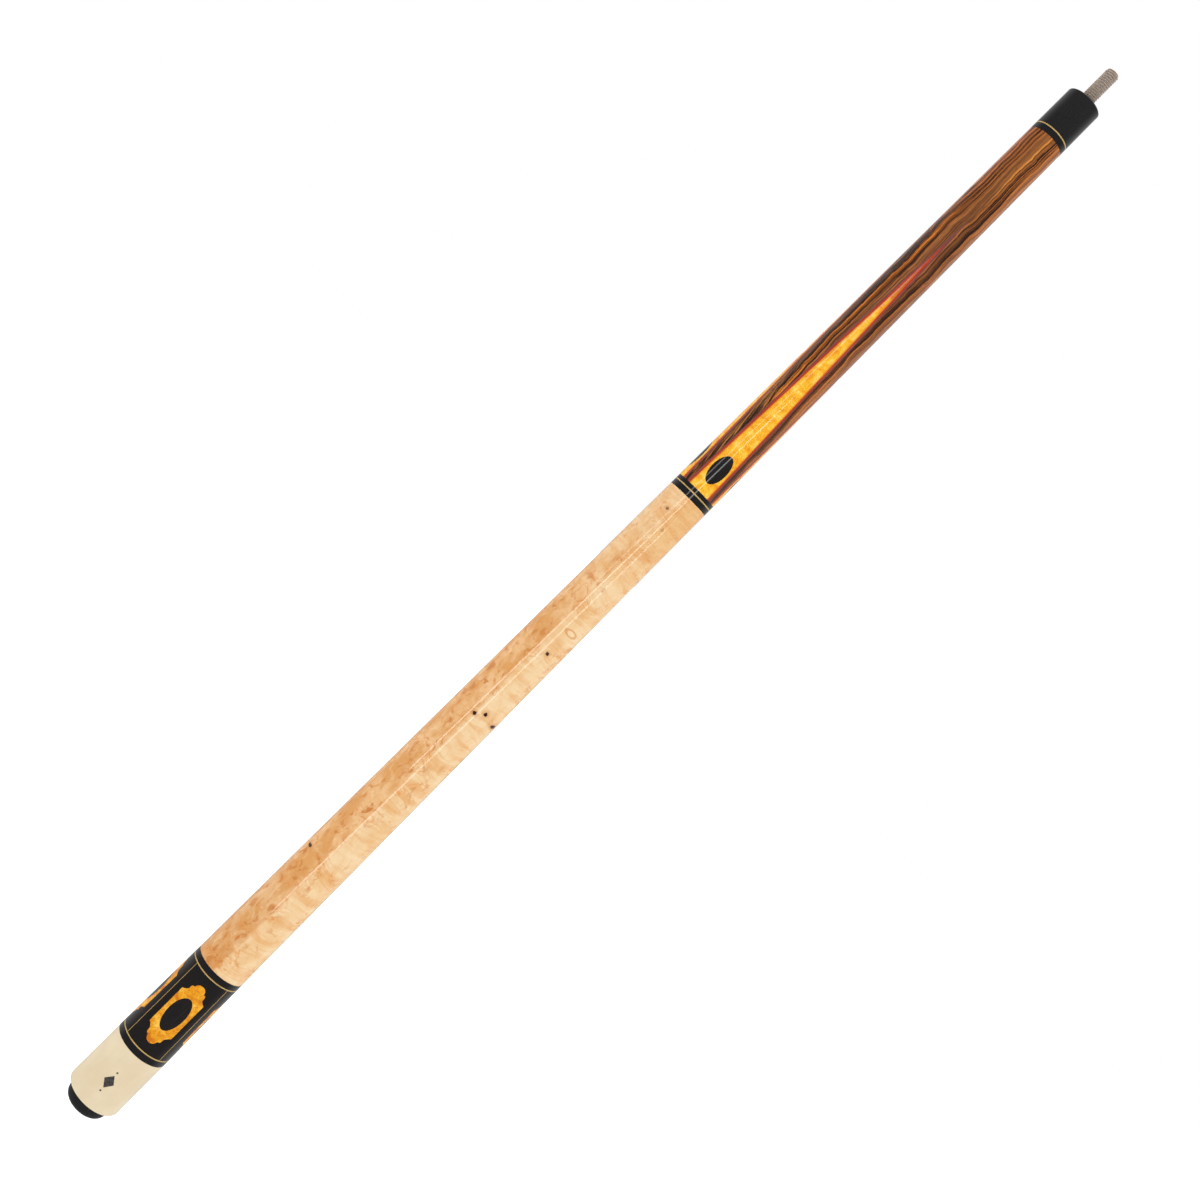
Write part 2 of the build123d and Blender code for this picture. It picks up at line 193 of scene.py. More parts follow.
class Paint(Nodes):
    """One material. Places are millimetres in the cue's own frame."""

    def __init__(self, name):
        self.material = bpy.data.materials.new(name)
        self.material.use_nodes = True
        super().__init__(self.material.node_tree)
        here = self.add("ShaderNodeTexCoord").outputs["Object"]
        self.place = self.vector("MULTIPLY", here, (1 / MM, 1 / MM, 1 / MM))

    def stretch(self, x, y, z, place=None, shift=(0, 0, 0)):
        """A place scaled along each axis, so that a pattern is finer along an axis with a larger number."""
        scaled = self.vector("MULTIPLY", place or self.place, (x, y, z))
        return self.vector("ADD", scaled, shift)

    def lacquer(self):
        """The surface of the lacquer over a flush piece: round about the axis, and faintly uneven."""
        outward = self.vector("NORMALIZE", self.vector("MULTIPLY", self.place, (1, 1, 0)))
        outward = self.vector("NORMALIZE", self.vector("ADD", outward, (0, 0, TAPER_SLOPE)))
        ripple = self.noise(self.stretch(0.6, 0.6, 0.25), detail=1)
        return self.bump(ripple, 0.02, 0.15, outward)

    def surface(self, base, **sockets):
        """Ends the tree in a principled surface. Underscores in the names stand for spaces."""
        shader = self.add("ShaderNodeBsdfPrincipled")
        out = self.add("ShaderNodeOutputMaterial")
        self.tree.links.new(shader.outputs["BSDF"], out.inputs["Surface"])
        self.feed(shader.inputs["Base Color"], base)
        for name, value in sockets.items():
            self.feed(shader.inputs[name.replace("_", " ")], value)
        return self.material


# ---------------------------------------------------------------- woods
KNOTS = [  # on the handle: height, angle from -Y towards +X in degrees, half size round and along, darkness
    (293.4, -3.9, 1.2, 1.05, 1.0),
    (296.6, 16.0, 1.15, 1.2, 1.0),
    (293.8, 59.5, 2.4, 1.2, 1.0),
    (341.5, 18.8, 1.05, 1.05, 0.95),
    (183.5, -60.0, 2.0, 1.1, 0.95),
    (438.8, -24.0, 0.85, 0.8, 0.7),
    (385.6, 7.0, 0.5, 1.3, 0.35),
    (429.0, 4.0, 0.5, 1.2, 0.35),
    (222.0, 150.0, 1.2, 1.2, 0.9),
    (389.0, 118.0, 1.1, 1.0, 0.9),
    (146.0, -140.0, 1.4, 1.2, 0.9),
]
EYE = (357.3, 26.0, 3.7, 1.7)  # a pale oval ringed in tan: height, angle, half sizes
KNOT_CORE = (1.15, 0.75)  # where a knot's dark middle begins and is full, in its half sizes
KNOT_HALO = (2.8, 1.0)  # and the tan round it
# heights between which the handle changes, on its tan side and on its cream side; the tan side is darker partly by
# its figure and partly by painted shade, darkest low down
TAN_AND_SHADE_DEEPEN = (440, 335)
TAN_AND_SHADE_DARKEN = (190, 110)
CREAM_WARMS = (385, 435)


def from_spot(p, height, degrees, half_round, half_along):
    """How far a place is from the middle of an oval spot on the handle: 1 on the oval's rim."""
    low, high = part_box("handle_ring_black")[1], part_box("wrist_ring_black_lower")[1]
    share = (height * MM - low.z) / (high.z - low.z)
    radius = (low.x + (high.x - low.x) * share) / MM
    angle = math.radians(degrees)
    middle = (radius * math.sin(angle), -radius * math.cos(angle), height)
    away = p.vector("SUBTRACT", p.place, middle)
    beside = (math.cos(angle) / half_round, math.sin(angle) / half_round, 0)
    outward = (math.sin(angle) / half_round, -math.cos(angle) / half_round, 0)
    oval = p.add("ShaderNodeCombineXYZ")
    p.feed(oval.inputs["X"], p.vector("DOT_PRODUCT", away, beside))
    p.feed(oval.inputs["Y"], p.vector("DOT_PRODUCT", away, outward))
    p.feed(oval.inputs["Z"], p.vector("DOT_PRODUCT", away, (0, 0, 1 / half_along)))
    return p.vector("LENGTH", oval.outputs[0])


def handle_maple():
    """Figured maple: cream with cross curl on one side, tan and mottled on the other, and small knots. The split
    is partly figure and partly painted light: the cream +X half is lighter by a painted reflection, the tan -X
    half darker by painted shade.
    """
    p = Paint("handle_maple")
    x = p.axis(p.place, "X")
    z = p.axis(p.place, "Z")
    drift = p.noise(p.stretch(0.05, 0.05, 0.045), detail=2, output="Color")
    warped = p.push(p.place, drift, 5)

    cloud = p.noise(p.stretch(0.12, 0.12, 0.055, warped), detail=3, rough=0.6)
    edge = p.sums("ADD", x, p.product(p.sums("SUBTRACT", cloud, 0.5), 7))
    # side is 1 on the -X half, to the camera's left. The split it makes is partly the wood's figure and partly
    # painted light: the cream half carries a painted reflection of soft light, the tan half painted shade.
    side = p.step(edge, -0.6, -2.8)
    tan = p.product(side, p.step(z, *TAN_AND_SHADE_DEEPEN, 0.30, 1.0))
    low = p.product(side, p.step(z, *TAN_AND_SHADE_DARKEN, 0, 0.45))
    base = p.mix(p.step(cloud, 0.36, 0.66), colour(243, 212, 167), colour(238, 198, 146))
    deep_tan_and_shade = p.mix(p.step(cloud, 0.38, 0.62), colour(236, 190, 138), colour(219, 159, 96))
    # the tan half and its darker low end: wood tone and painted shade together
    base = p.mix(low, p.mix(tan, base, deep_tan_and_shade), colour(206, 146, 86))

    curl = p.noise(p.stretch(0.035, 0.035, 0.22, warped), detail=3, rough=0.6)
    calm = p.sums("SUBTRACT", 1.0, p.product(tan, 0.6))
    patch = p.noise(p.stretch(0.10, 0.10, 0.06, shift=(4, 9, 2)), detail=2)
    calm = p.product(calm, p.step(patch, 0.36, 0.58, 0.45, 1.0))
    base = p.mix(p.product(p.step(curl, 0.47, 0.68, 0, 0.70), calm), base, colour(229, 168, 102))
    base = p.mix(p.product(p.step(curl, 0.46, 0.30, 0, 0.45), calm), base, colour(246, 220, 180))
    curl = p.noise(p.stretch(0.06, 0.06, 0.50, warped, shift=(6, 2, 9)), detail=2)
    base = p.mix(p.step(curl, 0.50, 0.70, 0, 0.28), base, colour(224, 160, 94))
    end = p.product(p.step(z, *CREAM_WARMS, 0, 0.75), p.sums("SUBTRACT", 1.0, side))
    base = p.mix(end, base, p.mix(1.0, base, colour(244, 220, 182), "MULTIPLY"))

    crease = p.noise(p.stretch(0.07, 0.07, 0.16, warped, shift=(1, 5, 3)), detail=2, rough=0.6)
    crease = p.step(p.sums("ABSOLUTE", p.sums("SUBTRACT", crease, 0.5)), 0.030, 0.0)
    crease = p.product(crease, p.step(patch, 0.50, 0.62))
    base = p.mix(p.product(crease, 0.7), base, colour(222, 146, 74))

    blot = p.noise(p.stretch(0.28, 0.28, 0.17, warped, shift=(7, 3, 1)), detail=3, rough=0.6, twist=0.8)
    reach = p.sums("ADD", p.step(patch, 0.46, 0.64, 0.04, 0.35), p.product(tan, 0.55))
    base = p.mix(p.product(p.step(blot, 0.50, 0.62, 0, 0.7), reach), base, colour(212, 144, 80))
    base = p.mix(p.product(p.step(blot, 0.57, 0.67, 0, 0.9), reach), base, colour(198, 118, 52))
    base = p.mix(p.product(p.step(blot, 0.42, 0.32, 0, 0.6), reach), base, colour(248, 216, 166))

    fibre = p.noise(p.stretch(3.0, 3.0, 0.10, warped), detail=3, rough=0.6)
    base = p.mix(p.step(fibre, 0.5, 0.75, 0, 0.30), base, colour(222, 172, 116))

    ragged = p.noise(p.stretch(0.9, 0.9, 0.9), detail=2)
    ragged = p.product(p.sums("SUBTRACT", ragged, 0.5), 1.3)
    for height, degrees, half_round, half_along, darkness in KNOTS:
        near = p.sums("ADD", from_spot(p, height, degrees, half_round, half_along), ragged)
        base = p.mix(p.step(near, *KNOT_HALO, 0, 0.5 * darkness), base, colour(206, 138, 78))
        base = p.mix(p.step(near, *KNOT_CORE, 0, darkness), base, colour(50, 23, 10))

    near = p.sums("ADD", from_spot(p, *EYE), p.product(ragged, 0.25))
    ring = p.sums("ABSOLUTE", p.sums("SUBTRACT", near, 1.0))
    base = p.mix(p.step(ring, 0.40, 0.05, 0, 0.75), base, colour(214, 148, 82))

    return p.surface(base, Roughness=0.42, Coat_Normal=p.lacquer(), **LACQUER)


GRAIN_TURN = math.radians(-5)  # how far the layers of the forearm's wood are turned from the X axis
LAYERS_CHANGE = (735, 762)  # between these, the lower layers give way to the upper ones
LAYERS_BLUR = 170  # how far that change moves up and down from layer to layer
LEAN_BELOW = 560  # under this height the layers lean over
LEAN = 0.035
STROKE_SLANT = 0.13  # how far the strokes near the foot slant across the layers
STROKES = (560, 500)  # heights between which the strokes come in, and places across the layers
STROKES_ACROSS = (-5.0, -8.0)
LOWER_LAYERS = [  # in the lower forearm: millimetres from its middle, and colour
    (-15.0, (128, 78, 44)),
    (-14.2, (66, 36, 20)),
    (-13.4, (158, 98, 50)),
    (-12.6, (72, 40, 20)),
    (-11.9, (160, 102, 46)),
    (-11.3, (62, 34, 16)),
    (-10.7, (152, 96, 40)),
    (-10.1, (78, 46, 28)),
    (-9.5, (126, 86, 66)),
    (-8.7, (38, 22, 18)),
    (-7.8, (30, 15, 9)),
    (-7.4, (208, 112, 38)),
    (-6.7, (248, 146, 48)),
    (-6.0, (226, 126, 44)),
    (-5.6, (82, 44, 20)),
    (-5.1, (106, 60, 30)),
    (-4.7, (172, 106, 54)),
    (-4.2, (122, 74, 42)),
    (-3.6, (178, 110, 60)),
    (-2.4, (126, 78, 48)),
    (-1.0, (154, 94, 48)),
    (1.0, (114, 70, 40)),
    (2.4, (166, 102, 52)),
    (3.3, (94, 56, 32)),
    (4.4, (140, 84, 42)),
    (5.4, (92, 52, 26)),
    (6.2, (82, 44, 20)),
    (7.0, (108, 60, 28)),
    (7.7, (182, 106, 46)),
    (8.3, (138, 80, 38)),
    (8.9, (192, 112, 52)),
    (10.2, (164, 102, 58)),
]
UPPER_LAYERS = [  # in the upper forearm, towards the joint
    (-11.0, (198, 116, 58)),
    (-8.6, (194, 106, 46)),
    (-8.0, (112, 62, 30)),
    (-7.5, (40, 20, 12)),
    (-7.0, (156, 86, 38)),
    (-6.5, (42, 21, 11)),
    (-5.7, (38, 18, 10)),
    (-5.2, (152, 84, 38)),
    (-4.4, (160, 92, 42)),
    (-3.9, (88, 50, 26)),
    (-3.3, (182, 110, 52)),
    (-2.4, (148, 90, 48)),
    (-1.6, (114, 70, 40)),
    (-0.8, (176, 110, 54)),
    (0.2, (136, 82, 44)),
    (1.0, (202, 128, 58)),
    (1.5, (228, 148, 64)),
    (2.0, (62, 32, 16)),
    (2.5, (170, 96, 42)),
    (3.0, (180, 104, 46)),
    (3.5, (40, 19, 10)),
    (4.7, (36, 17, 9)),
    (5.0, (190, 106, 42)),
    (6.0, (212, 122, 52)),
    (6.8, (168, 98, 44)),
    (7.4, (192, 112, 50)),
    (8.8, (178, 106, 52)),
    (11.0, (172, 108, 66)),
]


def layer_colours(p, across, layers):
    """The colours of the layers at a place across them, in millimetres from the middle."""
    low, high = layers[0][0], layers[-1][0]
    place = p.sums("DIVIDE", p.sums("SUBTRACT", across, low), high - low)
    return p.ramp(place, *[((at - low) / (high - low), colour(*shade)) for at, shade in layers])


def forearm_wood():
    """Striped rosewood: orange and brown layers across the X axis, with dark lines that wave together."""
    p = Paint("forearm_wood")
    z = p.axis(p.place, "Z")
    sway = p.noise(p.stretch(0.012, 0.012, 0.028), detail=2, output="Color")
    shiver = p.noise(p.stretch(0.035, 0.035, 0.085, shift=(3, 3, 3)), detail=2, output="Color")
    warped = p.push(p.push(p.place, sway, 1.9, (1, 1, 0)), shiver, 1.1, (1, 1, 0))
    layers = p.add("ShaderNodeCombineXYZ")
    turned = (math.cos(GRAIN_TURN), math.sin(GRAIN_TURN), 0)
    beside = (-math.sin(GRAIN_TURN), math.cos(GRAIN_TURN), 0)
    lean = p.product(p.sums("MAXIMUM", p.sums("SUBTRACT", LEAN_BELOW, z), 0), LEAN)
    across = p.sums("SUBTRACT", p.vector("DOT_PRODUCT", warped, turned), lean)
    p.feed(layers.inputs["X"], across)
    p.feed(layers.inputs["Y"], p.vector("DOT_PRODUCT", warped, beside))
    p.feed(layers.inputs["Z"], z)
    layers = layers.outputs[0]
    slant = p.add("ShaderNodeCombineXYZ")
    p.feed(slant.inputs["X"], p.product(z, STROKE_SLANT))

    swap = p.noise(p.stretch(0.45, 0.1, 0.004, layers, shift=(3, 9, 5)), detail=2)
    swap = p.sums("ADD", z, p.product(swap, LAYERS_BLUR))
    lower = layer_colours(p, across, LOWER_LAYERS)
    base = p.mix(p.step(swap, *LAYERS_CHANGE), lower, layer_colours(p, across, UPPER_LAYERS))

    bold = p.step(across, 8.5, 7.0, 0.55, 1.0)
    grain = p.noise(p.stretch(1.05, 0.16, 0.008, layers, shift=(5, 1, 7)), detail=3, rough=0.6)
    base = p.mix(p.product(p.step(grain, 0.50, 0.62, 0, 0.80), bold), base, colour(58, 30, 20))
    base = p.mix(p.step(grain, 0.46, 0.34, 0, 0.50), base, colour(206, 128, 66))
    streak = p.noise(p.stretch(2.2, 1.5, 0.012, layers, shift=(2, 7, 3)), detail=2, rough=0.6)
    base = p.mix(p.step(streak, 0.54, 0.64, 0, 0.40), base, colour(62, 33, 17))
    base = p.mix(p.step(streak, 0.44, 0.34, 0, 0.25), base, colour(196, 122, 54))

    slanted = p.vector("ADD", layers, slant.outputs[0])
    stroke = p.noise(p.stretch(0.9, 0.35, 0.012, slanted, shift=(7, 7, 2)), detail=2, rough=0.6)
    low = p.product(p.step(z, *STROKES), p.step(across, *STROKES_ACROSS))
    base = p.mix(p.product(p.step(stroke, 0.50, 0.58), low), base, colour(52, 28, 12))
    base = p.mix(p.product(p.step(stroke, 0.47, 0.38, 0, 0.8), low), base, colour(190, 124, 48))

    line = p.noise(p.stretch(0.62, 0.08, 0.004, layers, shift=(9, 4, 2)), detail=2, rough=0.6)
    broken = p.noise(p.stretch(0.2, 0.2, 0.03, shift=(1, 8, 6)), detail=2)
    ink = p.product(p.step(line, 0.56, 0.61), p.step(broken, 0.34, 0.50, 0.3, 1.0))
    outer = p.step(p.sums("ABSOLUTE", across), 2.5, 4.5, 0.25, 0.9)
    base = p.mix(p.product(ink, outer, bold), base, colour(34, 16, 10))
    pores = p.noise(p.stretch(3.6, 1.4, 0.16, layers, shift=(6, 6, 1)), detail=2)
    base = p.mix(p.step(pores, 0.58, 0.70, 0, 0.45), base, colour(60, 32, 20))

    return p.surface(base, Roughness=0.45, Coat_Normal=p.lacquer(), **LACQUER)


POINT_FOOT = 456.7  # the foot of the forearm
POINT_EDGE = (4.07, 0.0437)  # a point's lower edge: its distance from the axis there, and its rise
POINT_DARKENS = (590, 608)  # heights between which a point darkens towards its tip
POINT_AMBER = [  # from the dark to the light of the curl
    (0.32, (236, 148, 28)),
    (0.46, (251, 180, 40)),
    (0.56, (254, 196, 52)),
    (0.68, (255, 212, 94)),
]
WINDOW_AMBER = [
    (0.34, (206, 116, 16)),
    (0.46, (231, 154, 26)),
    (0.56, (242, 172, 36)),
    (0.66, (250, 196, 78)),
]


def from_edge(p):
    """How far a place in a spliced point is from that point's faces, in millimetres."""
    x = p.sums("ABSOLUTE", p.axis(p.place, "X"))
    y = p.sums("ABSOLUTE", p.axis(p.place, "Y"))
    out = p.sums("SUBTRACT", p.sums("MAXIMUM", x, y), p.sums("MINIMUM", x, y))
    height = p.sums("SUBTRACT", p.axis(p.place, "Z"), POINT_FOOT)
    low = p.sums("ADD", p.product(height, POINT_EDGE[1]), POINT_EDGE[0])
    return p.sums("SUBTRACT", out, low)


def amber_wood(name, burl):
    """Amber maple for the points, with cross curl, or with burl's swirls for the sleeve windows."""
    p = Paint(name)
    drift = p.noise(p.stretch(0.12, 0.12, 0.10), detail=2, output="Color")
    warped = p.push(p.place, drift, 5)
    curl = p.noise(p.stretch(0.16, 0.16, 0.24 if burl else 0.28, warped), detail=3, rough=0.55)
    amber = WINDOW_AMBER if burl else POINT_AMBER
    base = p.ramp(curl, *[(place, colour(*shade)) for place, shade in amber])
    fibre = p.noise(p.stretch(2.4, 2.4, 0.12, warped), detail=3, rough=0.6)
    base = p.mix(p.step(fibre, 0.5, 0.74, 0, 0.40), base, colour(228, 138, 34))
    swirl = p.noise(p.stretch(0.34, 0.34, 0.26, warped, shift=(8, 2, 4)), detail=2, twist=1.0)
    ridge = p.sums("ABSOLUTE", p.sums("SUBTRACT", swirl, 0.5))
    base = p.mix(p.step(ridge, 0.05, 0.0, 0, 0.55 if burl else 0.25), base, colour(196, 98, 20))
    fleck = p.noise(p.stretch(1.8, 1.8, 0.6, shift=(3, 7, 5)), detail=2)
    base = p.mix(p.step(fleck, 0.64, 0.72, 0, 0.5), base, colour(205, 108, 26))
    if not burl:
        base = p.mix(p.step(from_edge(p), 1.3, 0.1, 0, 0.75), base, colour(214, 116, 40))
        base = p.mix(p.step(p.axis(p.place, "Z"), *POINT_DARKENS, 0, 0.85), base, colour(190, 88, 36))
    return p.surface(base, Roughness=0.40, Coat_Normal=p.lacquer(), **LACQUER)


def veneer(name, dark, middle, light):
    """Dyed veneer round a point, with fibres along it."""
    p = Paint(name)
    fibre = p.noise(p.stretch(3.0, 3.0, 0.05), detail=3, rough=0.6)
    base = p.ramp(fibre, (0.30, colour(*dark)), (0.50, colour(*middle)), (0.70, colour(*light)))
    return p.surface(base, Roughness=0.45, Coat_Normal=p.lacquer(), **LACQUER)


def oval_black():
    """Ebony inlay: near black, with faint brown fibres."""
    p = Paint("oval_black")
    fibre = p.noise(p.stretch(3.0, 3.0, 0.08), detail=3, rough=0.6)
    base = p.ramp(fibre, (0.35, colour(16, 14, 16)), (0.75, colour(40, 34, 33)))
    return p.surface(base, Roughness=0.45, Coat_Normal=p.lacquer(), **LACQUER)


# ---------------------------------------------------------------- plastics, rubber, metals
def black_plastic(name, shade, gloss):
    """Black phenolic: faint cloudiness and fine turning marks round the cue."""
    p = Paint(name)
    cloud = p.noise(p.stretch(0.25, 0.25, 0.25), detail=3)
    base = p.mix(cloud, colour(*shade), colour(*[value + 8 for value in shade]))
    turned = p.noise(p.stretch(0.02, 0.02, 9.0), detail=2)
    return p.surface(
        base,
        Roughness=p.step(cloud, 0.2, 0.8, gloss, gloss + 0.08),
        Normal=p.bump(turned, 0.004, 0.3),
        **LACQUER,
    )


def ivory():
    """Ivory-coloured cap: cream, with faint warm clouds and streaks."""
    p = Paint("cap_ivory")
    cloud = p.noise(p.stretch(0.06, 0.06, 0.05), detail=3)
    base = p.mix(p.step(cloud, 0.3, 0.7), colour(226, 206, 170), colour(233, 216, 182))
    streak = p.noise(p.stretch(0.8, 0.8, 0.06), detail=3)
    base = p.mix(p.step(streak, 0.5, 0.8, 0, 0.25), base, colour(216, 194, 154))
    return p.surface(base, Roughness=0.38, Coat_Weight=0.4, Coat_Roughness=0.15)


def metal(name, shade, roughness, grain, metallic=1.0):
    """A metal with fine marks. grain is how fine they run along x, y and z, and metallic is less for a
    metal that is dulled by dust or under lacquer."""
    p = Paint(name)
    marks = p.noise(p.stretch(*grain), detail=3, rough=0.6)
    base = p.mix(p.step(marks, 0.3, 0.7), colour(*[value * 0.82 for value in shade]), colour(*shade))
    rough = p.step(marks, 0.3, 0.7, roughness * 0.8, roughness * 1.25)
    return p.surface(base, Metallic=metallic, Roughness=rough, Normal=p.bump(marks, 0.01, 0.3))


def rubber():
    """Black moulded rubber: satin, with a fine pebbled skin and dusty scuffs."""
    p = Paint("bumper_rubber")
    scuff = p.noise(p.stretch(0.35, 0.35, 0.35), detail=4, rough=0.65)
    base = p.mix(p.step(scuff, 0.52, 0.75, 0, 0.5), colour(26, 24, 26), colour(48, 46, 46))
    skin = p.noise(p.stretch(5.0, 5.0, 5.0), detail=2)
    return p.surface(base, Roughness=p.step(scuff, 0.3, 0.7, 0.45, 0.62), Normal=p.bump(skin, 0.03, 0.4))


def mark_black():
    """The mark let into the cap: black, worn to grey in places."""
    p = Paint("mark_black")
    worn = p.noise(p.stretch(1.2, 1.2, 1.2), detail=3)
    base = p.mix(p.step(worn, 0.35, 0.75), colour(48, 44, 42), colour(92, 86, 78))
    return p.surface(base, Roughness=0.4, Coat_Weight=0.4, Coat_Roughness=0.15)


def dress():
    """Gives every CAD node the finish of its material slot."""
    finishes = {
        "handle_maple": handle_maple(),
        "forearm_wood": forearm_wood(),
        "point_maple": amber_wood("point_maple", burl=False),
        "window_burl": amber_wood("window_burl", burl=True),
        "veneer_red": veneer("veneer_red", (136, 40, 30), (178, 58, 34), (202, 84, 46)),
        "veneer_plum": veneer("veneer_plum", (92, 52, 52), (122, 70, 66), (142, 84, 72)),
        "oval_black": oval_black(),
        "collar_black": black_plastic("collar_black", (24, 22, 22), 0.35),
        "ring_black": black_plastic("ring_black", (20, 18, 20), 0.30),
        "sleeve_black": black_plastic("sleeve_black", (20, 16, 16), 0.30),
        "cap_ivory": ivory(),
        "mark_black": mark_black(),
        "ring_gold": metal("ring_gold", (226, 190, 116), 0.42, (0.3, 0.3, 6.0), 0.30),
        "line_gold": metal("line_gold", (206, 166, 96), 0.42, (6.0, 6.0, 0.3), 0.35),
        "pin_steel": metal("pin_steel", (206, 190, 176), 0.45, (0.5, 0.5, 7.0), 0.45),
        "hardware_steel": metal("hardware_steel", (176, 178, 182), 0.30, (2.0, 2.0, 6.0)),
        "screw_steel": metal("screw_steel", (74, 74, 78), 0.38, (3.0, 3.0, 3.0)),
        "insert_brass": metal("insert_brass", (212, 172, 96), 0.28, (0.5, 0.5, 8.0)),
        "bumper_rubber": rubber(),
    }
    for part in frame["record"]["subparts"]:
        mesh = nodes[part["node"]].data
        mesh.materials.clear()
        mesh.materials.append(finishes[part["material_slot"]])
    return finishes


# ---------------------------------------------------------------- joint pin
def joint_pin(finish):
    """The pin with its right-handed helical thread, a rounded tip and its plain buried length."""
    bottom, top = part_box("joint_pin")
    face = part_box("joint_collar")[1].z
    flank = PIN_THREAD_DEPTH * math.tan(PIN_FLANK_ANGLE)
    crest = PIN_PITCH / 8
    root = PIN_PITCH - crest - 2 * flank
    profile = [  # (height within one pitch, depth below the crest)
        (0.0, 0.0),
        (crest, 0.0),
        (crest + flank / 2, PIN_THREAD_DEPTH / 2),
        (crest + flank, PIN_THREAD_DEPTH),
        (crest + flank + root, PIN_THREAD_DEPTH),
        (crest + 1.5 * flank + root, PIN_THREAD_DEPTH / 2),
    ]
    turns = math.ceil((top.z - face) / PIN_PITCH) + 2
    start = face - PIN_PITCH

    def radius(height, depth):
        """The thread's radius, which sinks into the rounded tip."""
        above = height - (top.z - PIN_TIP_ROUND)
        if above <= 0:
            return PIN_RADIUS - depth
        limit = PIN_RADIUS - PIN_TIP_ROUND + math.sqrt(max(PIN_TIP_ROUND**2 - above**2, 0.0))
        return min(PIN_RADIUS - depth, limit)

    made = bmesh.new()
    rows = []
    for step in range(turns * PIN_SEGMENTS + 1):
        angle = 2 * math.pi * step / PIN_SEGMENTS
        row = []
        for rise, depth in profile:
            height = start + PIN_PITCH * step / PIN_SEGMENTS + rise
            r = radius(height, depth)
            row.append(made.verts.new((r * math.cos(angle), r * math.sin(angle), height)))
        rows.append(row)
    for step in range(len(rows) - 1):
        here, after = rows[step], rows[step + 1]
        for low in range(len(profile) - 1):
            made.faces.new((here[low], after[low], after[low + 1], here[low + 1]))
        if step + PIN_SEGMENTS + 1 < len(rows):
            above, above_after = rows[step + PIN_SEGMENTS], rows[step + PIN_SEGMENTS + 1]
            made.faces.new((here[-1], after[-1], above_after[0], above[0]))
    for height, direction in ((face, -1), (top.z, 1)):
        cut = bmesh.ops.bisect_plane(
            made,
            geom=made.verts[:] + made.edges[:] + made.faces[:],
            plane_co=(0, 0, height),
            plane_no=(0, 0, direction),
            clear_outer=True,
        )
        rim = [e for e in cut["geom_cut"] if isinstance(e, bmesh.types.BMEdge)]
        bmesh.ops.holes_fill(made, edges=rim, sides=0)
    buried = face - bottom.z
    bmesh.ops.create_cone(
        made,
        cap_ends=True,
        segments=PIN_SEGMENTS,
        radius1=PIN_BURIED_RADIUS,
        radius2=PIN_BURIED_RADIUS,
        depth=buried,
        matrix=Matrix.Translation((0, 0, bottom.z + buried / 2)),
    )
    bmesh.ops.recalc_face_normals(made, faces=made.faces[:])
    pin = finish_mesh("joint_pin_thread", made, finish)
    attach(pin, "butt")
    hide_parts("joint_pin")


def finish_mesh(name, made, finish):
    """A smooth-shaded object from a bmesh, with its sharp edges kept sharp."""
    mesh = bpy.data.meshes.new(name)
    made.to_mesh(mesh)
    made.free()
    mesh.materials.append(finish)
    mesh.shade_smooth()
    mesh.set_sharp_from_angle(angle=SHARP_ANGLE)
    piece = bpy.data.objects.new(name, mesh)
    bpy.context.scene.collection.objects.link(piece)
    return piece


# ---------------------------------------------------------------- studio
TUBES = [  # slanting tube lights: azimuth and height of the lower and of the upper end, and radiance
    ("tube_right", (-15, 0.015), (26, 0.450), 5.0),
    ("tube_middle", (-30, 0.170), (10, 0.590), 6.0),
    ("tube_left", (-33, 0.380), (1, 0.740), 3.5),
]
TUBE_DISTANCE = 0.42
TUBE_WIDTH = 0.030
WORLD_BEHIND = 0.54  # the world's brightness at eye level, behind the cue
WORLD_FRONT = 0.20  # and on the camera's side of it
WORLD_OVERHEAD = 1.75  # added overhead
WORLD_ASIDE = 0.05  # how much brighter it is to the camera's right
FLOOR_RADIUS = 30
FLOOR_SEGMENTS = 96
FLOOR_GLOW = 0.85  # keeps the floor near white, with only a faint shadow


def camera():
    """At the picture's place, rolled so that the upright cue lies along the picture's diagonal."""
    cue = Vector((0, 0, 1))
    right = math.cos(CUE_IN_PICTURE) * cue + math.sin(CUE_IN_PICTURE) * ASIDE
    up = math.sin(CUE_IN_PICTURE) * cue - math.cos(CUE_IN_PICTURE) * ASIDE
    data = bpy.data.cameras.new("camera")
    data.lens = LENS
    data.sensor_width = SENSOR
    data.shift_x, data.shift_y = SHIFT
    eye = bpy.data.objects.new("camera", data)
    turn = Matrix((right, up, BACK)).transposed().to_4x4()
    eye.matrix_world = Matrix.Translation(BACK * CAMERA_DISTANCE + cue * CAMERA_HEIGHT) @ turn
    bpy.context.scene.collection.objects.link(eye)
    bpy.context.scene.camera = eye


def tube(name, lower, upper, radiance):
    """A long thin light that faces the cue and shows only in its gloss, so that the shading stays even.
    Azimuths are as the camera's, in degrees."""
    ends = []
    for degrees, height in (lower, upper):
        angle = math.radians(degrees)
        ends.append(TUBE_DISTANCE * Vector((math.sin(angle), -math.cos(angle), 0)) + Vector((0, 0, height)))
    middle = (ends[0] + ends[1]) / 2
    along = (ends[1] - ends[0]).normalized()
    away = Vector((middle.x, middle.y, 0))
    away = (away - along * away.dot(along)).normalized()
    data = bpy.data.lights.new(name, "AREA")
    data.shape = "RECTANGLE"
    data.size = TUBE_WIDTH
    data.size_y = (ends[1] - ends[0]).length
    data.energy = radiance * math.pi * data.size * data.size_y
    lamp = bpy.data.objects.new(name, data)
    turn = Matrix((along.cross(away), along, away)).transposed().to_4x4()
    lamp.matrix_world = Matrix.Translation(middle) @ turn
    lamp.visible_camera = False
    lamp.visible_diffuse = False
    bpy.context.scene.collection.objects.link(lamp)


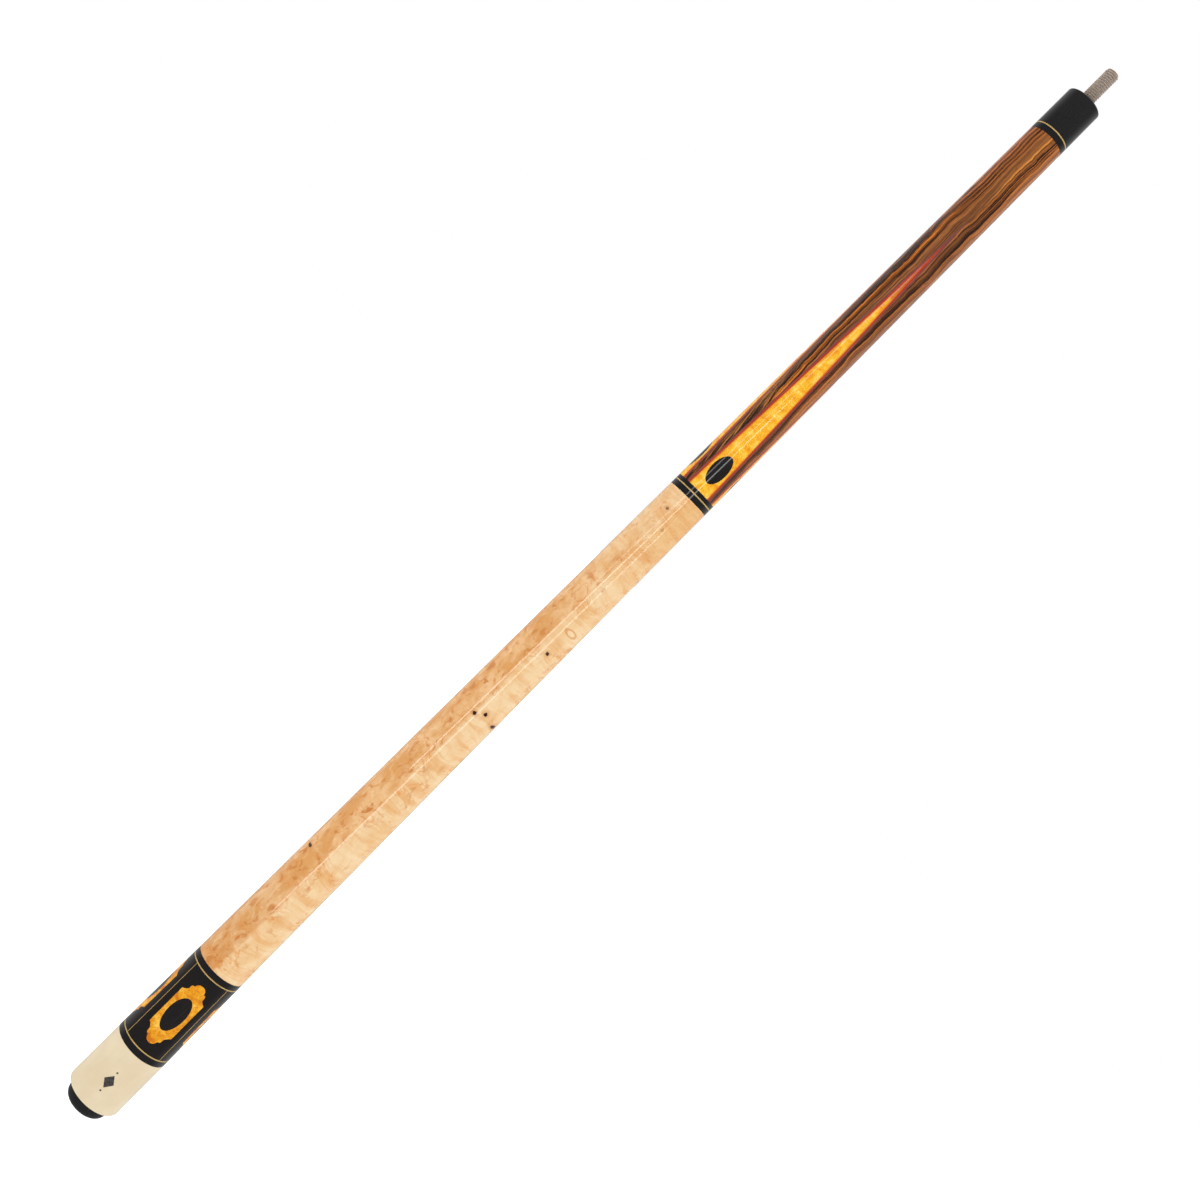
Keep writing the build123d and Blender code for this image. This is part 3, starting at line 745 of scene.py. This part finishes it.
def surroundings():
    """White behind the cue, light overhead, and dim at eye level so that black gloss stays black."""
    world = bpy.data.worlds.new("studio")
    world.use_nodes = True
    bpy.context.scene.world = world
    g = Nodes(world.node_tree)
    toward = g.add("ShaderNodeTexCoord").outputs["Generated"]
    front = g.vector("DOT_PRODUCT", toward, BACK)
    level = g.step(front, -0.5, 0.3, WORLD_BEHIND, WORLD_FRONT)
    over = g.step(g.axis(toward, "Z"), 0.35, 0.85, 0, WORLD_OVERHEAD)
    level = g.sums("ADD", level, over)
    right = g.product(g.vector("DOT_PRODUCT", toward, ASIDE), WORLD_ASIDE)
    level = g.product(level, g.sums("ADD", right, 1.0))
    seen = g.add("ShaderNodeLightPath").outputs["Is Camera Ray"]
    shader = g.add("ShaderNodeBackground")
    g.feed(shader.inputs["Color"], g.mix(seen, level, (1, 1, 1, 1)))
    out = g.add("ShaderNodeOutputWorld")
    g.tree.links.new(shader.outputs[0], out.inputs["Surface"])


def floor():
    """A wide round floor, pale and faintly speckled, as low as the unscrewed bumper comes, so that the
    bumper shows at every pose. It is kept out of the gloss, which stays dark."""
    made = bmesh.new()
    bmesh.ops.create_circle(made, cap_ends=True, segments=FLOOR_SEGMENTS, radius=FLOOR_RADIUS)
    mesh = bpy.data.meshes.new("floor")
    made.to_mesh(mesh)
    made.free()
    p = Paint("floor_white")
    speck = p.noise(p.stretch(0.01, 0.01, 0.01), detail=2)
    shade = p.mix(speck, colour(172, 172, 172), colour(178, 178, 178))
    glow = {"Emission_Color": (1, 1, 1, 1), "Emission_Strength": FLOOR_GLOW}
    mesh.materials.append(p.surface(shade, Roughness=0.9, Specular_IOR_Level=0.0, **glow))
    ground = bpy.data.objects.new("floor", mesh)
    bumper_slide = next(joint for joint in frame["joints"] if joint["name"] == "bumper_slide")
    ground.location.z = -bumper_slide["range_m"][1]
    bpy.context.scene.collection.objects.link(ground)
    ground.visible_glossy = False


finishes = dress()
joint_pin(finishes["pin_steel"])
camera()
for lamp in TUBES:
    tube(*lamp)
surroundings()
floor()
bpy.context.scene.view_settings.view_transform = "Standard"
